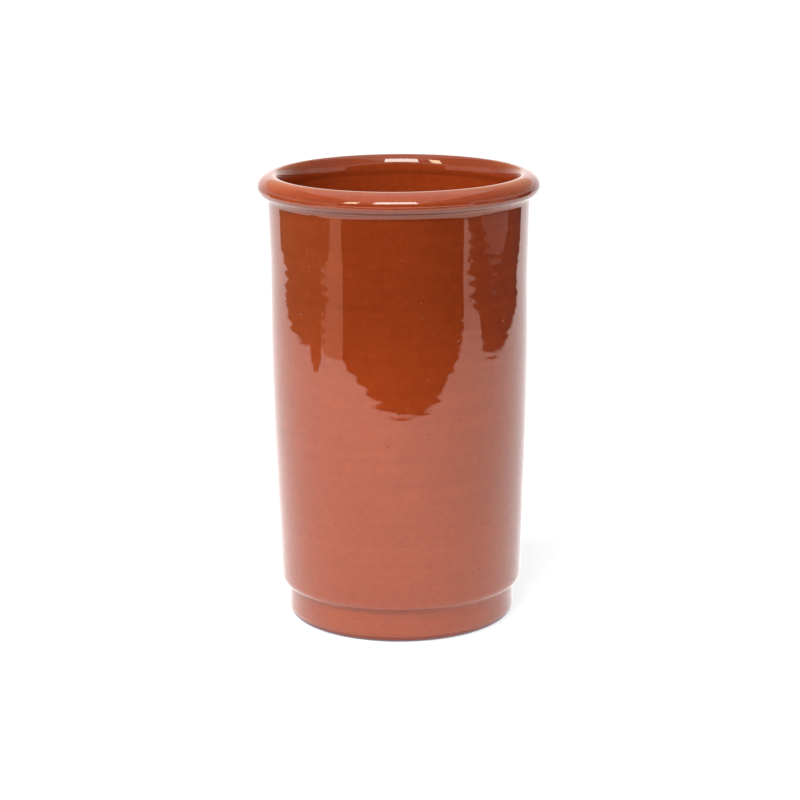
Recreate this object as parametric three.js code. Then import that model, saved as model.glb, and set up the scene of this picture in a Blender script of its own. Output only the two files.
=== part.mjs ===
// Tall terracotta pot with a rolled rim, glazed inside and out.
//
// The pot is thrown from one lump of red earthenware: a floor with a turned foot ring, a nearly
// cylindrical wall that narrows a little downwards, a stepped foot, and a rim rolled outwards over
// a small fillet. A thin glossy coat is poured inside and dipped outside. The two coats meet along
// the crest of the rim, and the standing face and the recess under the floor stay bare clay.
//
// Millimetres, +Z up. The origin is the centre of the standing face, and every piece is a solid of
// revolution about Z, so each one is described by its outline: points [radius, height].

import * as THREE from 'three';

// Driving dimensions
const HEIGHT = 200;              // standing face to the crest of the rim, over the glaze
const RIM_RADIUS = 62;           // outermost circle of the rolled rim, over the glaze
const GLAZE = 0.4;               // thickness of both coats
const SEGMENTS = 48;             // flats round a full turn

// Rolled rim, in section: one ellipse quarter each for its top, its underside and its inner edge
const ROLL = {
  crestRadius: 54.9,             // circle along which the rim is highest
  widestHeight: 194.4,           // height of the outermost circle
  undersideHeight: 190.8,        // height of the circle along which the roll is lowest
  undersideRadius: 58.8,         // radius of that circle; a hollow curve leads from it to the neck
  innerDrop: 8.5,                // from the crest down to where the inner wall begins
};
const MOUTH_RADIUS = 51.5;       // inner wall just below the rim, over the lining

// Wall, outside, over the glaze: radius at a height, from the shoulder of the foot to the neck
const WALL_OUTSIDE = [
  [54, 20.2],
  [55.4, 60],
  [56.6, 92],
  [57.05, 125],
  [56.75, 155],
  [57.25, 176],
  [57.65, 187.8],
];

// Wall, inside, over the lining: radius at a height, from the floor's fillet to the mouth
const WALL_INSIDE = [
  [47.5, 20],
  [48.8, 60],
  [50.4, 110],
  [51.2, 160],
  [MOUTH_RADIUS, HEIGHT - ROLL.innerDrop],
];

// Foot: a turned ring that is narrower than the wall, under a rounded shoulder
const FOOT = {
  radius: 50.7,                  // outside of the foot just above its rounded bottom edge
  topRadius: 50.4,               // outside of the foot just under the shoulder
  topHeight: 14.4,               // standing face to where the foot's side ends
  fillet: 1.3,                   // hollow curve from the foot's side out under the shoulder
  edgeWidth: 4.6,                // the rounded bottom edge, a quarter of an ellipse
  edgeHeight: 5,
};
const CONTACT_RADIUS = FOOT.radius - FOOT.edgeWidth;
const GLAZE_LINE = 0.7;          // the outside coat stops this far above the standing face
const RECESS_RADIUS = 40;        // hollow turned into the underside, at the standing face
const RECESS_DEPTH = 2.5;
const RECESS_SLOPE = 2;          // the recess narrows by this much on its way up

// Floor inside the pot
const FLOOR_HEIGHT = 9.5;        // standing face to the floor, over the lining
const FLOOR_RADIUS = 38;         // flat part of the floor, inside its fillet

const QUARTER = Math.PI / 2;

// Points on part of an ellipse about [r, z], from one angle to another, both ends included.
function arc([r, z], radial, vertical, from, to, steps) {
  const curve = new THREE.EllipseCurve(r, z, radial, vertical, from, to, to < from);
  return curve.getPoints(steps).map((point) => [point.x, point.y]);
}

// Points on a smooth curve through the given points, both ends included.
function smooth(points, steps) {
  const curve = new THREE.SplineCurve(points.map(([r, z]) => new THREE.Vector2(r, z)));
  return curve.getPoints(steps).map((point) => [point.x, point.y]);
}

// The outside of the pot over its glaze, from the glaze line on the foot up to the crest.
function outsideOutline() {
  const edgeStart = -Math.asin(1 - GLAZE_LINE / FOOT.edgeHeight);
  const filletRadius = FOOT.topRadius + FOOT.fillet;
  const shoulderBottom = FOOT.topHeight + FOOT.fillet;
  const [shoulderRadius, shoulderTop] = WALL_OUTSIDE[0];
  const [neckRadius, neckHeight] = WALL_OUTSIDE.at(-1);

  return [
    ...arc([CONTACT_RADIUS, FOOT.edgeHeight], FOOT.edgeWidth, FOOT.edgeHeight, edgeStart, 0, 3),
    ...arc([filletRadius, FOOT.topHeight], FOOT.fillet, FOOT.fillet, Math.PI, QUARTER, 3),
    ...arc([filletRadius, shoulderTop], shoulderRadius - filletRadius, shoulderTop - shoulderBottom,
      -QUARTER, 0, 5).slice(1),
    ...smooth(WALL_OUTSIDE, 12).slice(1),
    ...arc([ROLL.undersideRadius, neckHeight], ROLL.undersideRadius - neckRadius,
      ROLL.undersideHeight - neckHeight, Math.PI, QUARTER, 3).slice(1),
    ...arc([ROLL.undersideRadius, ROLL.widestHeight], RIM_RADIUS - ROLL.undersideRadius,
      ROLL.widestHeight - ROLL.undersideHeight, -QUARTER, 0, 4).slice(1),
    ...arc([ROLL.crestRadius, ROLL.widestHeight], RIM_RADIUS - ROLL.crestRadius,
      HEIGHT - ROLL.widestHeight, 0, QUARTER, 7).slice(1),
  ];
}

// The inside of the pot over its lining, from the crest down the wall to the centre of the floor.
function insideOutline() {
  const rollWidth = ROLL.crestRadius - MOUTH_RADIUS;
  const [footRadius, filletTop] = WALL_INSIDE[0];
  const filletWidth = footRadius - FLOOR_RADIUS;

  return [
    ...arc([ROLL.crestRadius, HEIGHT - ROLL.innerDrop], rollWidth, ROLL.innerDrop,
      QUARTER, Math.PI, 5),
    ...smooth(WALL_INSIDE, 6).reverse().slice(1),
    ...arc([FLOOR_RADIUS, filletTop], filletWidth, filletTop - FLOOR_HEIGHT, 0, -QUARTER, 5).slice(1),
    [0, FLOOR_HEIGHT],
  ];
}

// An outline moved sideways by a distance, to the left of the direction that it runs in. Each point
// moves along the bisector of its two neighbouring edges. The first and the last point move along a
// given direction, so that an outline ends on the face or the axis where it has to.
function offset(points, distance, firstDirection, lastDirection) {
  const last = points.length - 1;
  return points.map(([r, z], index) => {
    if (index === 0 || index === last) {
      const [dr, dz] = index === 0 ? firstDirection : lastDirection;
      return [r + dr * distance, z + dz * distance];
    }
    const before = leftNormal(points[index - 1], points[index]);
    const after = leftNormal(points[index], points[index + 1]);
    const sum = [before[0] + after[0], before[1] + after[1]];
    const scale = distance * 2 / (sum[0] ** 2 + sum[1] ** 2);
    return [r + sum[0] * scale, z + sum[1] * scale];
  });
}

function leftNormal([r1, z1], [r2, z2]) {
  const length = Math.hypot(r2 - r1, z2 - z1);
  return [(z1 - z2) / length, (r2 - r1) / length];
}

// The underside, from the centre of the recess out to just before the outside coat begins.
function undersideOutline(bareRadius) {
  return [
    [0, RECESS_DEPTH],
    [RECESS_RADIUS - RECESS_SLOPE, RECESS_DEPTH],
    [RECESS_RADIUS, 0],
    ...arc([CONTACT_RADIUS, GLAZE_LINE], bareRadius - CONTACT_RADIUS, GLAZE_LINE,
      -QUARTER, 0, 3).slice(0, -1),
  ];
}

// A solid of revolution about Z from an outline that runs anticlockwise in the [r, z] plane. An
// outline that starts on the axis ends there too, and any other is closed here.
function turned(name, outline, material) {
  const closed = outline[0][0] === 0 ? outline : [...outline, outline[0]];
  const profile = closed.map(([r, z]) => new THREE.Vector2(r, z));
  const geometry = new THREE.LatheGeometry(profile, SEGMENTS);
  geometry.rotateX(QUARTER);
  const mesh = new THREE.Mesh(geometry, material);
  mesh.name = name;
  return mesh;
}

const earthenware = new THREE.MeshStandardMaterial({ color: 0xb5653f, roughness: 0.85, metalness: 0 });
const outsideGlaze = new THREE.MeshStandardMaterial({ color: 0xa54a22, roughness: 0.12, metalness: 0 });
const liningGlaze = new THREE.MeshStandardMaterial({ color: 0x8f3c1b, roughness: 0.15, metalness: 0 });

const LEFT = [-1, 0];
const DOWN = [0, -1];

const outside = outsideOutline();                     // upwards, so the clay is on its left
const inside = insideOutline();                       // inwards, so the clay is on its left
const clayOutside = offset(outside, GLAZE, LEFT, DOWN);
const clayInside = offset(inside, GLAZE, DOWN, DOWN);
const underside = undersideOutline(clayOutside[0][0]);

const pot = new THREE.Group();
pot.name = 'terracotta_pot';
pot.add(
  turned('clay_body', [...underside, ...clayOutside, ...clayInside.slice(1)], earthenware),
  turned('glaze_outside', [...outside, ...clayOutside.toReversed()], outsideGlaze),
  turned('glaze_lining', [...clayInside.toReversed(), ...inside], liningGlaze),
);

export default pot;
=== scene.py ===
"""Looks of the glazed terracotta pot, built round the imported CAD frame.

The pot is three pieces: the thrown clay, the coat dipped on its outside and the coat poured inside.
Each is a solid of revolution whose outline repeats the CAD's, bent a little by the hand that threw
it. Lengths in the outline constants are millimetres; every Blender object is in metres.
"""

import math

import bpy
import numpy as np
from mathutils import Matrix, Vector


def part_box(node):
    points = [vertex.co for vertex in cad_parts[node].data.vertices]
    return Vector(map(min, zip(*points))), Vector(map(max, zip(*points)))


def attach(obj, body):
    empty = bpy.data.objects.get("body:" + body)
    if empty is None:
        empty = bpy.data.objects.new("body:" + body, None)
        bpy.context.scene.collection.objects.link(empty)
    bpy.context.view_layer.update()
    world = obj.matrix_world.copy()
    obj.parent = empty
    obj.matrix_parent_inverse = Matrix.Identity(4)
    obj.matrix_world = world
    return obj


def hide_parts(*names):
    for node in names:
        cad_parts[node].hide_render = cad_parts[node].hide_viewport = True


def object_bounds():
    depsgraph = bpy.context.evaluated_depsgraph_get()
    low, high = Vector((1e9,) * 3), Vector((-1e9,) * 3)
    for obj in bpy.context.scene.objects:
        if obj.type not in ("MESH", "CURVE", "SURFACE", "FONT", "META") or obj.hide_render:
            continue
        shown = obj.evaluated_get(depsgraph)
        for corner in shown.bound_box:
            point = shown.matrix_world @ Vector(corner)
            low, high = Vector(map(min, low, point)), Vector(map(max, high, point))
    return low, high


MM = 0.001
QUARTER = math.pi / 2

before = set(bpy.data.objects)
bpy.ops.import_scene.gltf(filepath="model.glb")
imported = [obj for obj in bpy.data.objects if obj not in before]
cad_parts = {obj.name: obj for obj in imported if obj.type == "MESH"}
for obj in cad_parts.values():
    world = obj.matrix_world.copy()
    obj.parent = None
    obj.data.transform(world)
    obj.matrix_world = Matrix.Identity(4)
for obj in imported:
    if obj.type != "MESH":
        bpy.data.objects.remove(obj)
cad_low, cad_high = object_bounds()

HEIGHT = cad_high.z / MM
RIM_RADIUS = cad_high.x / MM
GLAZE = (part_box("glaze_outside")[1].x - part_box("clay_body")[1].x) / MM


# ---------------------------------------------------------------- outline, as in the CAD (mm)

CREST_RADIUS = 54.9
WIDEST_HEIGHT = 194.4
UNDERSIDE_HEIGHT = 190.8
UNDERSIDE_RADIUS = 58.8
INNER_DROP = 8.5
MOUTH_RADIUS = 51.5

# Height and radius, going up
WALL_OUTSIDE = [(20.2, 54), (60, 55.4), (92, 56.6), (125, 57.05), (155, 56.75), (176, 57.25),
                (187.8, 57.65)]
WALL_INSIDE = [(20, 47.5), (60, 48.8), (110, 50.4), (160, 51.2), (HEIGHT - INNER_DROP, MOUTH_RADIUS)]

FOOT_RADIUS = 50.7
FOOT_TOP_RADIUS = 50.4
FOOT_TOP_HEIGHT = 14.4
FOOT_FILLET = 1.3
EDGE_WIDTH = 4.6
EDGE_HEIGHT = 5
GLAZE_LINE = 0.7
RECESS_RADIUS = 40
RECESS_DEPTH = 2.5
RECESS_SLOPE = 2
FLOOR_HEIGHT = 9.5
FLOOR_RADIUS = 38

CONTACT_RADIUS = FOOT_RADIUS - EDGE_WIDTH


def arc(centre, radial, vertical, start, end, count):
    """Points on part of an ellipse, from angle start to angle end, both included."""
    angle = np.linspace(start, end, count)
    return np.c_[centre[0] + radial * np.cos(angle), centre[1] + vertical * np.sin(angle)]


def line(start, end, count):
    """Points on a straight line, both ends included."""
    return np.linspace(start, end, count)


def wall(points, count):
    """A smooth wall past (height, radius) points, as [radius, height] rows going up.

    Each radius is a bell-shaped average of the straight stretches, a sixth of the wall either way.
    """
    heights, radii = np.array(points, float).T
    up = np.linspace(heights[0], heights[-1], count)
    reach = count // 6
    padded = np.pad(np.interp(up, heights, radii), reach, mode="reflect", reflect_type="odd")
    bell = np.exp(-np.linspace(-2.5, 2.5, 2 * reach + 1) ** 2)
    return np.c_[np.convolve(padded, bell / bell.sum(), mode="valid"), up]


def joined(*stretches):
    """One outline from stretches that meet end to end, each shared point kept once."""
    rows = [stretches[0]]
    for stretch in stretches[1:]:
        close = np.allclose(rows[-1][-1], stretch[0], atol=0.02)
        rows.append(stretch[1:] if close else stretch)
    return np.vstack(rows)


def outside_outline():
    """Over the coat, from the glaze line on the foot up to the crest of the rim."""
    edge_start = -math.asin(1 - GLAZE_LINE / EDGE_HEIGHT)
    fillet_radius = FOOT_TOP_RADIUS + FOOT_FILLET
    shoulder_bottom = FOOT_TOP_HEIGHT + FOOT_FILLET
    shoulder_top, shoulder_radius = WALL_OUTSIDE[0]
    neck_height, neck_radius = WALL_OUTSIDE[-1]
    return joined(
        arc((CONTACT_RADIUS, EDGE_HEIGHT), EDGE_WIDTH, EDGE_HEIGHT, edge_start, 0, 10),
        line((FOOT_RADIUS, EDGE_HEIGHT), (FOOT_TOP_RADIUS, FOOT_TOP_HEIGHT), 16),
        arc((fillet_radius, FOOT_TOP_HEIGHT), FOOT_FILLET, FOOT_FILLET, math.pi, QUARTER, 8),
        arc((fillet_radius, shoulder_top), shoulder_radius - fillet_radius,
            shoulder_top - shoulder_bottom, -QUARTER, 0, 14),
        wall(WALL_OUTSIDE, 150),
        arc((UNDERSIDE_RADIUS, neck_height), UNDERSIDE_RADIUS - neck_radius,
            UNDERSIDE_HEIGHT - neck_height, math.pi, QUARTER, 12),
        arc((UNDERSIDE_RADIUS, WIDEST_HEIGHT), RIM_RADIUS - UNDERSIDE_RADIUS,
            WIDEST_HEIGHT - UNDERSIDE_HEIGHT, -QUARTER, 0, 14),
        arc((CREST_RADIUS, WIDEST_HEIGHT), RIM_RADIUS - CREST_RADIUS, HEIGHT - WIDEST_HEIGHT,
            0, QUARTER, 22),
    )


def inside_outline():
    """Over the lining, from the crest of the rim down and in to the centre of the floor."""
    fillet_top, foot_radius = WALL_INSIDE[0]
    return joined(
        arc((CREST_RADIUS, HEIGHT - INNER_DROP), CREST_RADIUS - MOUTH_RADIUS, INNER_DROP,
            QUARTER, math.pi, 20),
        wall(WALL_INSIDE, 130)[::-1],
        arc((FLOOR_RADIUS, fillet_top), foot_radius - FLOOR_RADIUS, fillet_top - FLOOR_HEIGHT,
            0, -QUARTER, 16),
        line((FLOOR_RADIUS, FLOOR_HEIGHT), (0, FLOOR_HEIGHT), 40),
    )


def underside_outline(bare_radius):
    """The bare clay under the pot, from the centre of the recess out to the glaze line."""
    recess_top = (RECESS_RADIUS - RECESS_SLOPE, RECESS_DEPTH)
    return joined(
        line((0, RECESS_DEPTH), recess_top, 80),
        line(recess_top, (RECESS_RADIUS, 0), 6),
        line((RECESS_RADIUS, 0), (CONTACT_RADIUS, 0), 16),
        arc((CONTACT_RADIUS, GLAZE_LINE), bare_radius - CONTACT_RADIUS, GLAZE_LINE, -QUARTER, 0, 6),
    )


def offset(outline, distance, first, last):
    """An outline moved to the left of its own direction, its two ends along given directions."""
    step = np.gradient(outline, axis=0)
    step /= np.linalg.norm(step, axis=1)[:, None]
    normal = np.c_[-step[:, 1], step[:, 0]]
    normal[0], normal[-1] = first, last
    return outline + normal * distance


def thinned(outline, step):
    """Every so many points of an outline, always with its last one."""
    kept = list(range(0, len(outline) - 1, step))
    return outline[kept + [len(outline) - 1]]


# ---------------------------------------------------------------- turned meshes

# What the potter's hand leaves on the wall, as waves: height of a wave, its length up the wall, how
# many times it goes round the pot, and its phase (mm, mm, whole number, radians).
SWELLS = [(0.030, 61, 2, 0.4), (0.022, 43, 3, 2.0), (0.016, 29, 5, 4.4), (0.012, 23, 1, 1.1)]
RINGS = [(0.0034, 4.7, 9, 0.0), (0.0032, 5.9, -7, 2.2), (0.0024, 3.3, 17, 4.0), (0.0019, 2.7, -23, 5.1)]

# Where the waves fade out towards the rim, which is smooth (mm)
WAVES_FADE = (184, 190)

# Half of how far the mouth is out of round, and how far the rim dips towards one side, each with its
# place on the turn (mm, radians)
OVAL, OVAL_PHASE = 0.05, 0.7
RIM_DIP, DIP_PHASE = 0.12, -0.9
DIP_STEEPNESS = 6


def hand(height, angle):
    """Radial and vertical offset, in mm, that the potter's hand leaves at a place on the pot."""
    share = np.clip(height / HEIGHT, 0, 1)
    out = -OVAL * share * (1 + np.cos(2 * angle + OVAL_PHASE))
    fade = np.interp(height, WAVES_FADE, (1, 0))
    for wave, length, turns, phase in SWELLS + RINGS:
        out = out + fade * wave * np.sin(2 * math.pi * height / length + turns * angle + phase)
    up = -RIM_DIP * share ** DIP_STEEPNESS * (1 + np.cos(2 * angle + DIP_PHASE)) / 2
    return out, up


def ring_points(rings, segments):
    """The points of every ring of a turned mesh, one ring after the other."""
    angle = np.linspace(0, 2 * math.pi, segments, endpoint=False)[None, :]
    radius, height = rings[:, :1], rings[:, 1:]
    out, up = hand(height, angle)
    r = radius * (1 + out / RIM_RADIUS)
    return np.stack([r * np.cos(angle), r * np.sin(angle), height + up], axis=-1).reshape(-1, 3)


def turned(name, outline, segments):
    """A closed mesh from an outline that runs anticlockwise in the radius-height plane."""
    on_axis = outline[0, 0] < 1e-9
    rings = outline[1:-1] if on_axis else outline
    bands = len(rings) - 1 if on_axis else len(rings)
    points = ring_points(rings, segments)
    column = np.arange(segments)
    beside = (column + 1) % segments

    faces = []
    for row in range(bands):
        low, high = row * segments, (row + 1) % len(rings) * segments
        faces += np.c_[low + column, low + beside, high + beside, high + column].tolist()
    if on_axis:
        bottom, top = len(points), len(points) + 1
        points = np.vstack([points, [0, 0, outline[0, 1]], [0, 0, outline[-1, 1]]])
        last = bands * segments
        faces += np.c_[beside, column, np.full(segments, bottom)].tolist()
        faces += np.c_[last + column, last + beside, np.full(segments, top)].tolist()
    return meshed(name, points, faces)


def meshed(name, points, faces):
    """An object with smooth shading from points in mm and faces."""
    mesh = bpy.data.meshes.new(name)
    mesh.from_pydata((points * MM).tolist(), [], faces)
    mesh.polygons.foreach_set("use_smooth", [True] * len(mesh.polygons))
    mesh.update()
    piece = bpy.data.objects.new(name, mesh)
    bpy.context.scene.collection.objects.link(piece)
    return piece


# ---------------------------------------------------------------- materials

# Colours, and the strength and tint of the mirror reflections, all matched against the photograph.
# The index of 1.7 and the warm tint are higher and warmer than a clear glaze's own.
GLAZE_DEEP = (0.290, 0.039, 0.0078)
GLAZE_LIGHT = (0.335, 0.0485, 0.0100)
GLAZE_TINT = (1.0, 0.66, 0.56)
GLAZE_IOR = 1.7

CLAY_DARK = (0.40, 0.125, 0.055)
CLAY_PALE = (0.52, 0.19, 0.09)

# Bands between two heights in which the glaze turns lighter or darker, going up (m)
# The darkening at the bottom edge of the foot is painted shade
FOOT_EDGE_PAINTED_SHADE = (0.0007, 0.0022)
LOWER_WALL = (0.040, 0.100)
UPPER_WALL = (0.110, 0.156)
NECK = (0.1908, 0.1914)
ROLL_SIDE = (0.1926, 0.1942)
CREST = (0.1962, 0.1995)

# Bands from the front of the pot, -Y, to its back (m), for the upper wall and for the crest. The
# difference between front and back was set so that the front is as bright as in the photograph: painted
# shade on the front of the upper wall and a painted highlight along the front of the crest, which make
# up for the light there. Nothing shows that the real glaze has it.
WALL_FRONT_PAINTED_SHADE = (-0.054, -0.030)
CREST_FRONT_PAINTED_HIGHLIGHT = (-0.020, 0.045)

# The shade in the hollow under the roll, painted in
NECK_LIGHTNESS = 0.75


class Material:
    """A material with one Principled shader, and short ways to add nodes to it."""

    def __init__(self, name):
        self.data = bpy.data.materials.new(name)
        self.data.use_nodes = True
        self.tree = self.data.node_tree
        self.place = self.add("TexCoord").outputs["Object"]

    def add(self, kind, settings=None, **inputs):
        """A new node with the given settings, its inputs linked or filled in."""
        node = self.tree.nodes.new("ShaderNode" + kind)
        for key, value in (settings or {}).items():
            setattr(node, key, value)
        self.connect(node, inputs)
        return node

    def connect(self, node, inputs):
        """Links or fills in a node's inputs; an underscore stands for a space in an input's name."""
        for label, value in inputs.items():
            socket = node.inputs[label.replace("_", " ")]
            if isinstance(value, bpy.types.NodeSocket):
                self.tree.links.new(value, socket)
            else:
                socket.default_value = value

    def shade(self, **inputs):
        self.connect(self.tree.nodes["Principled BSDF"], inputs)

    def noise(self, scale, detail, stretch=(1, 1, 1), roughness=0.6):
        """Noise over the object, finer along an axis that is stretched by more than 1."""
        stretched = self.add("Mapping", Vector=self.place, Scale=stretch).outputs[0]
        return self.add("TexNoise", Vector=stretched, Scale=scale, Detail=detail,
                        Roughness=roughness).outputs[0]

    def cells(self, scale):
        """Distance to the nearest of many scattered points."""
        return self.add("TexVoronoi", Vector=self.place, Scale=scale).outputs["Distance"]

    def spread(self, value, low, high, start=0.3, end=0.7, smooth=False):
        """Low up to where a value is start, high from where it is end, and a ramp in between."""
        settings = {"interpolation_type": "SMOOTHSTEP"} if smooth else {}
        return self.add("MapRange", settings, Value=value, From_Min=start, From_Max=end,
                        To_Min=low, To_Max=high).outputs[0]

    def scaled(self, colour, factor):
        return self.add("VectorMath", {"operation": "SCALE"}, Vector=colour, Scale=factor).outputs[0]

    def blend(self, value, first, second, start=0.0, end=1.0):
        """A colour between two, by a value between start and end."""
        ramp = self.add("ValToRGB", Fac=value)
        for stop, position, colour in zip(ramp.color_ramp.elements, (start, end), (first, second)):
            stop.position = position
            stop.color = (*colour, 1)
        return ramp.outputs[0]

    def bump(self, distance, height, strength=1.0, **under):
        return self.add("Bump", Strength=strength, Distance=distance, Height=height, **under).outputs[0]


def coat_tone_and_painted_light(material, lip_painted_brightness):
    """Factors of the coat's lightness, going up the pot and from its front to its back.

    They were set until the picture was as bright as the photograph in each place. The coat turns
    lighter towards the foot and darker up the upper wall; the front of the upper wall has painted
    shade, the front of the crest a painted highlight, and the neck under the roll and the bottom edge
    of the foot painted shade. The rim side's painted brightness is the lightness of the rolled rim's
    side, painted light on the outside coat and painted shade on the lining, above the painted shade in
    the neck.
    """
    spread = material.spread
    split = material.add("SeparateXYZ", Vector=material.place)
    height, depth = split.outputs["Z"], split.outputs["Y"]
    # Darker up the upper wall, with painted shade on its front
    upper_wall_front_shade = spread(depth, 0.70, 0.87, *WALL_FRONT_PAINTED_SHADE)
    # A painted highlight along the front of the crest, darker at its back
    crest = spread(depth, 1.40, 0.90, *CREST_FRONT_PAINTED_HIGHLIGHT)
    return [
        spread(height, 1.12, 1.04, *LOWER_WALL),
        spread(height, 1, upper_wall_front_shade, *UPPER_WALL, smooth=True),
        spread(height, 1, NECK_LIGHTNESS, *NECK),
        # On the rolled rim's side: painted light on the outside coat, painted shade on the lining; it
        # also ends the neck's painted shade
        spread(height, 1, lip_painted_brightness / NECK_LIGHTNESS, *ROLL_SIDE),
        spread(height, 1, crest, *CREST),
        # Painted shade along the bottom edge of the foot
        spread(height, 0.3, 1, *FOOT_EDGE_PAINTED_SHADE),
    ]


def glaze(name, lightness, lip_painted_brightness):
    """Glossy clear glaze over red clay: mottled, faintly streaked round the pot, with small specks."""
    material = Material(name)
    noise, spread = material.noise, material.spread
    streaks = spread(noise(14, 4, stretch=(1, 1, 26)), 0.94, 1.06)
    clouds = spread(noise(22, 2), 0.95, 1.05)
    speck = material.cells(150)
    dots = spread(speck, 0.55, 1, 0.03, 0.09)

    colour = material.blend(spread(noise(330, 4), 0, 1), GLAZE_DEEP, GLAZE_LIGHT)
    for factor in [*coat_tone_and_painted_light(material, lip_painted_brightness), streaks, clouds, lightness, dots]:
        colour = material.scaled(colour, factor)

    peel = material.bump(0.000006, noise(450, 2))
    pimples = material.bump(0.00003, spread(speck, 1, 0, 0.02, 0.12, smooth=True), Normal=peel)
    material.shade(Base_Color=colour, Roughness=spread(noise(60, 3), 0.02, 0.05), Normal=pimples,
                   IOR=GLAZE_IOR, Specular_Tint=(*GLAZE_TINT, 1))
    return material.data


def fired_clay():
    """Bare red clay under the foot: matt and sandy, with a few pale grains of grog."""
    material = Material("fired_clay")
    grain = material.cells(900)
    tone = material.blend(material.noise(60, 6, roughness=0.5), CLAY_DARK, CLAY_PALE, 0.35, 0.65)
    colour = material.scaled(tone, material.spread(grain, 1.25, 0.95, 0, 0.5))
    material.shade(Base_Color=colour, Roughness=0.9, Normal=material.bump(0.0002, grain, 0.6))
    return material.data


# ---------------------------------------------------------------- pieces

# Faces round a full turn. Each piece stays below 200,000 triangles, and the hidden side of a coat has
# fewer points than the side that is seen.
CLAY_SEGMENTS = 240
COAT_SEGMENTS = 320


def build_pot():
    """The clay and its two coats, whose touching faces follow the same outlines."""
    outside = outside_outline()
    inside = inside_outline()
    clay_outside = offset(outside, GLAZE, first=(-1, 0), last=(0, -1))
    clay_inside = offset(inside, GLAZE, first=(0, -1), last=(0, -1))
    underside = underside_outline(clay_outside[0, 0])

    clay = joined(underside, thinned(clay_outside, 2), thinned(clay_inside, 2))
    coat = np.vstack([outside, thinned(clay_outside[::-1], 4)])
    lining = np.vstack([thinned(clay_inside[::-1], 4), inside])
    # The lining's greater brightness is painted light, and each coat's rim side has its own painted
    # brightness
    outside_glaze = glaze("outside_glaze", lightness=1.0, lip_painted_brightness=1.18)
    lining_glaze = glaze("lining_glaze", lightness=1.12, lip_painted_brightness=0.95)
    for name, outline, segments, node, slot, material in (
        ("clay", clay, CLAY_SEGMENTS, "clay_body", "bare_clay", fired_clay()),
        ("outside_coat", coat, COAT_SEGMENTS, "glaze_outside", "outside_glaze", outside_glaze),
        ("lining_coat", lining, COAT_SEGMENTS, "glaze_lining", "lining_glaze", lining_glaze),
    ):
        piece = turned(name, outline, segments)
        piece.data.materials.append(material)
        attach(piece, "root")
        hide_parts(node)


# ---------------------------------------------------------------- stage

RAYS = ("camera", "diffuse", "glossy", "transmission", "shadow")
WHITE = (1, 1, 1)


def glow(material, colour, strength, reflectance=0.0):
    """Makes a material matt, with light of its own."""
    material.shade(Base_Color=(reflectance, reflectance, reflectance, 1), Roughness=1,
                   Specular_IOR_Level=0, Emission_Color=(*colour, 1), Emission_Strength=strength)
    return material.data


def fading(name, colour, middle, sides, reach):
    """A glow that fades to either side of the pot, up to a distance from its middle plane."""
    material = Material(name)
    sideways = material.add("SeparateXYZ", Vector=material.place).outputs["X"]
    distance = material.add("Math", {"operation": "ABSOLUTE"}, Value=sideways).outputs[0]
    return glow(material, colour, material.spread(distance, middle, sides, 0, reach))


def stage_card(name, corners, material, seen_by):
    """A flat polygon of the stage that only the named kinds of ray meet."""
    mesh = bpy.data.meshes.new(name)
    mesh.from_pydata(corners, [], [tuple(range(len(corners)))])
    card = bpy.data.objects.new(name, mesh)
    card.data.materials.append(material)
    bpy.context.scene.collection.objects.link(card)
    for kind in RAYS:
        setattr(card, "visible_" + kind, kind in seen_by)


def screen(name, start, end, outline, material):
    """A standing card that only the glaze mirrors, over the line from start towards end.

    It is cut to an outline of points [distance along the line, height].
    """
    along = (Vector(end) - Vector(start)).normalized()
    corners = [(start[0] + along.x * reach, start[1] + along.y * reach, height)
               for reach, height in outline]
    stage_card(name, corners, material, ("glossy",))


def upright(name, start, end, low, high, material):
    """A standing rectangle that only the glaze mirrors, over the line from start to end."""
    corners = [(*start, low), (*end, low), (*end, high), (*start, high)]
    stage_card(name, corners, material, ("glossy",))


def level(name, x, y, height, material, seen_by=("glossy",)):
    """A level rectangle between two x and two y, at a height."""
    corners = [(x[0], y[0], height), (x[1], y[0], height), (x[1], y[1], height), (x[0], y[1], height)]
    stage_card(name, corners, material, seen_by)


# The floor's three sheets: the rays that meet it, and its glow near the pot and far from it
FLOORS = {
    "floor": ("camera", 0.86, 1.02),
    "floor_in_glaze": ("glossy", 1.5, 1.5),
    "floor_bounce": ("diffuse", 0, 0),
}
FLOOR_SIZE = 12
FLOOR_WHITE = 0.9
NEAR_POT = 0.10
FAR_FROM_POT = 0.45

# The disc that darkens the mirror image of the floor right under the rounded edge of the foot
SHADOW_RADIUS = 52.0
SHADOW_GLOW = (0.8, 1, 1.15)
SHADOW_STRENGTH = 0.9
SHADOW_SEGMENTS = 64
SHADOW_HEIGHT = 0.0001


def pale_floor(name, near, far):
    """White paper whose glow rises from the pot outwards, so that a faint shadow stays at its foot."""
    material = Material(name)
    distance = material.add("VectorMath", {"operation": "LENGTH"}, Vector=material.place)
    # The dimmer glow near the pot is a painted shadow round its foot
    strength = material.spread(distance.outputs["Value"], near, far, NEAR_POT, FAR_FROM_POT)
    return glow(material, WHITE, strength, FLOOR_WHITE)


def build_floor():
    """One pale floor as three sheets, so that its glow in the glaze isn't light on the pot as well."""
    reach = (-FLOOR_SIZE, FLOOR_SIZE)
    for name, (rays, near, far) in FLOORS.items():
        level(name, reach, reach, 0, pale_floor(name, near, far), (rays,))


def build_contact_shadow():
    turn = np.linspace(0, 2 * math.pi, SHADOW_SEGMENTS, endpoint=False)
    radius = SHADOW_RADIUS * MM
    corners = [(radius * math.cos(a), radius * math.sin(a), SHADOW_HEIGHT) for a in turn]
    material = glow(Material("shadow"), SHADOW_GLOW, SHADOW_STRENGTH)
    stage_card("contact_shadow", corners, material, ("glossy",))


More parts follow.
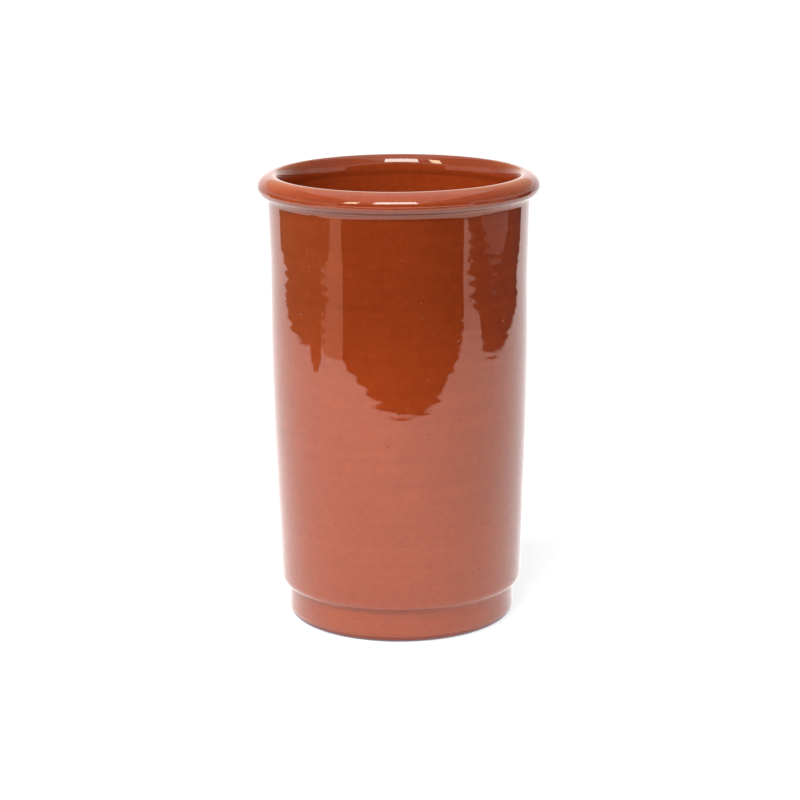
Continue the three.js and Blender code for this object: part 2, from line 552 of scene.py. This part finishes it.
# A guess at what the glaze mirrors: a darker room beyond the edges of a white table, two lamps, a
# backdrop and the ceiling. The cards were placed and cut until their reflections had the photograph's
# shapes and brightness, and no other kind of ray meets them. Places on the floor plan and heights are
# in metres.
TABLE_LEFT = (-0.50, -0.432)
TABLE_RIGHT = (0.60, -0.398)
ROOM_TOP = 0.2
LAMPS_Y = -0.56
CEILING_HEIGHT = 1.0
WORLD_STRENGTH = 1.0

GLOWS = {
    "room_dark": ((1, 0.85, 0.7), 0.03),
    "room_dim": ((1, 0.92, 0.95), 0.5),
    "room_warm": ((1, 0.85, 0.45), 0.32),
    "room_shade": ((1, 0.95, 0.95), 0.1),
    "table_end": (WHITE, 2.6),
    "corner_left": ((1, 0.72, 0.55), 1.45),
    "corner_right": ((1, 0.95, 0.95), 1.55),
    "lamp": ((0.6, 0.95, 1.05), 16),
    "warm_lamp": ((0.7, 0.95, 0.75), 14),
    "ceiling": (WHITE, 1.35),
    "ceiling_side": ((1, 0.95, 0.9), 0.5),
}


def build_front_of_room(glows):
    """The dark room beyond the near edge of the table, with a bright strip across it."""
    dark, light = glows["room_dark"], glows["table_end"]
    upright("room_front", TABLE_LEFT, TABLE_RIGHT, 0, 0.105, dark)
    upright("room_front_light", TABLE_LEFT, TABLE_RIGHT, 0.105, 0.175, light)
    upright("room_front_high", TABLE_LEFT, TABLE_RIGHT, 0.175, 0.37, dark)


def build_left_of_room(glows):
    """The warm room on the left, and the pale corner between it and the front."""
    warm = glows["room_warm"]
    upright("room_left", (-0.70, -0.26), (-0.70, 0.50), 0, ROOM_TOP, warm)
    screen("room_left_near", (-0.515, -0.19), (-0.515, -0.07),
           [(0, 0.1), (0, 0.02), (0.025, 0.004), (0.05, 0), (0.08, 0.001), (0.11, 0.012), (0.12, 0.1)],
           warm)
    upright("corner_left", TABLE_LEFT, (-0.68, -0.22), 0, ROOM_TOP, glows["corner_left"])
    screen("room_left_corner", (-0.49, -0.425), (-0.67, -0.215),
           [(0.12, ROOM_TOP), (0.12, 0.052), (0.14, 0.03), (0.18, 0.022), (0.22, 0.014),
            (0.29, 0.014), (0.29, ROOM_TOP)],
           warm)


def build_right_of_room(glows):
    """The shaded room on the right with a paler window in it, and the pale corner next to it."""
    shade = glows["room_shade"]
    upright("corner_right", TABLE_RIGHT, (0.66, -0.20), 0, ROOM_TOP, glows["corner_right"])
    screen("room_right_corner", (0.59, -0.39), (0.65, -0.195),
           [(0.045, ROOM_TOP), (0.045, 0.03), (0.07, 0.025), (0.13, 0.022), (0.21, 0.015),
            (0.24, 0.015), (0.24, ROOM_TOP)],
           shade)
    screen("room_right_pale", (0.60, -0.20), (0.60, 0.30),
           [(0.02, ROOM_TOP), (0.02, 0.055), (0.06, 0.047), (0.20, 0.044), (0.31, 0.047),
            (0.38, 0.055), (0.38, ROOM_TOP)],
           glows["room_dim"])
    screen("room_right", (0.61, -0.20), (0.61, 0.15),
           [(0, ROOM_TOP), (0, 0.03), (0.02, 0.012), (0.05, 0.003), (0.1, 0), (0.35, 0),
            (0.35, ROOM_TOP)],
           shade)
    upright("room_right_back", (0.61, 0.15), (0.67, 0.60), 0, ROOM_TOP, shade)


def build_lamps_and_ceiling(glows):
    """The two lamps that show as highlights, and the ceiling, which is paler over the pot."""
    upright("lamp_wide", (-0.22, LAMPS_Y), (0.16, LAMPS_Y), 0.51, 0.82, glows["lamp"])
    upright("lamp_narrow", (-0.58, LAMPS_Y), (-0.39, LAMPS_Y), 0.52, 0.80, glows["warm_lamp"])
    level("ceiling", (-0.5, 0.5), (-0.95, 0.6), CEILING_HEIGHT, glows["ceiling"])
    for side in (-1, 1):
        level("ceiling_side", (0.5 * side, 3 * side), (-1.5, 1.5), CEILING_HEIGHT,
              glows["ceiling_side"])


def build_backdrop():
    """Behind the pot, a backdrop that comes forward on both sides and fades there."""
    low = fading("backdrop", (1, 0.93, 0.91), middle=1.75, sides=0.75, reach=0.8)
    high = fading("backdrop_high", (1, 0.72, 0.52), middle=1.3, sides=0.75, reach=0.8)
    for side in (-1, 1):
        upright("backdrop", (0, 1.05), (1.2 * side, 0.3), 0.06, 0.45, low)
        upright("backdrop_high", (0, 1.05), (1.2 * side, 0.3), 0.45, 1.0, high)


def build_reflections():
    glows = {name: glow(Material(name), colour, strength)
             for name, (colour, strength) in GLOWS.items()}
    build_front_of_room(glows)
    build_left_of_room(glows)
    build_right_of_room(glows)
    build_lamps_and_ceiling(glows)
    build_backdrop()


def build_world():
    """A white surround that is seen and mirrored, and that doesn't light the pot."""
    world = bpy.data.worlds.new("studio")
    world.use_nodes = True
    background = world.node_tree.nodes["Background"]
    background.inputs["Color"].default_value = (*WHITE, 1)
    background.inputs["Strength"].default_value = WORLD_STRENGTH
    world.cycles_visibility.diffuse = False
    bpy.context.scene.world = world


def soft_light(name, place, target, size, power):
    """A square studio lamp that lights the pot but isn't itself seen in the glaze."""
    data = bpy.data.lights.new(name, "AREA")
    data.size = size
    data.energy = power
    lamp = bpy.data.objects.new(name, data)
    lamp.location = place
    lamp.rotation_euler = (Vector(target) - Vector(place)).to_track_quat("-Z", "Y").to_euler()
    lamp.visible_glossy = False
    lamp.visible_camera = False
    bpy.context.scene.collection.objects.link(lamp)


def build_lights():
    """A small lamp in front over the pot, and a large one on each side."""
    soft_light("front_light", (-0.08, -0.55, 0.60), (0, 0, 0.17), 0.3, 3.3)
    soft_light("left_light", (-0.65, -0.55, 0.80), (0, 0, 0.12), 0.5, 7.7)
    soft_light("right_light", (0.79, -0.14, 0.30), (0, 0, 0.10), 0.5, 1.6)


# ---------------------------------------------------------------- camera

CAMERA_BACK = 1.1374             # metres in front of the pot's axis
CAMERA_HEIGHT = 0.3737           # metres over the floor
CAMERA_PITCH = 13.65             # degrees down from level
CAMERA_ROLL = 0.34               # degrees clockwise
LENS = 118                       # mm, on a sensor 36 mm wide
SENSOR_WIDTH = 36


def build_camera():
    data = bpy.data.cameras.new("camera")
    data.lens = LENS
    data.sensor_width = SENSOR_WIDTH
    camera = bpy.data.objects.new("camera", data)
    tilt = Matrix.Rotation(math.radians(90 - CAMERA_PITCH), 4, "X")
    roll = Matrix.Rotation(math.radians(-CAMERA_ROLL), 4, "Z")
    camera.matrix_world = Matrix.Translation((0, -CAMERA_BACK, CAMERA_HEIGHT)) @ tilt @ roll
    bpy.context.scene.collection.objects.link(camera)
    bpy.context.scene.camera = camera


build_camera()
build_pot()
build_floor()
build_contact_shadow()
build_reflections()
build_world()
build_lights()
bpy.context.scene.view_settings.view_transform = "Standard"
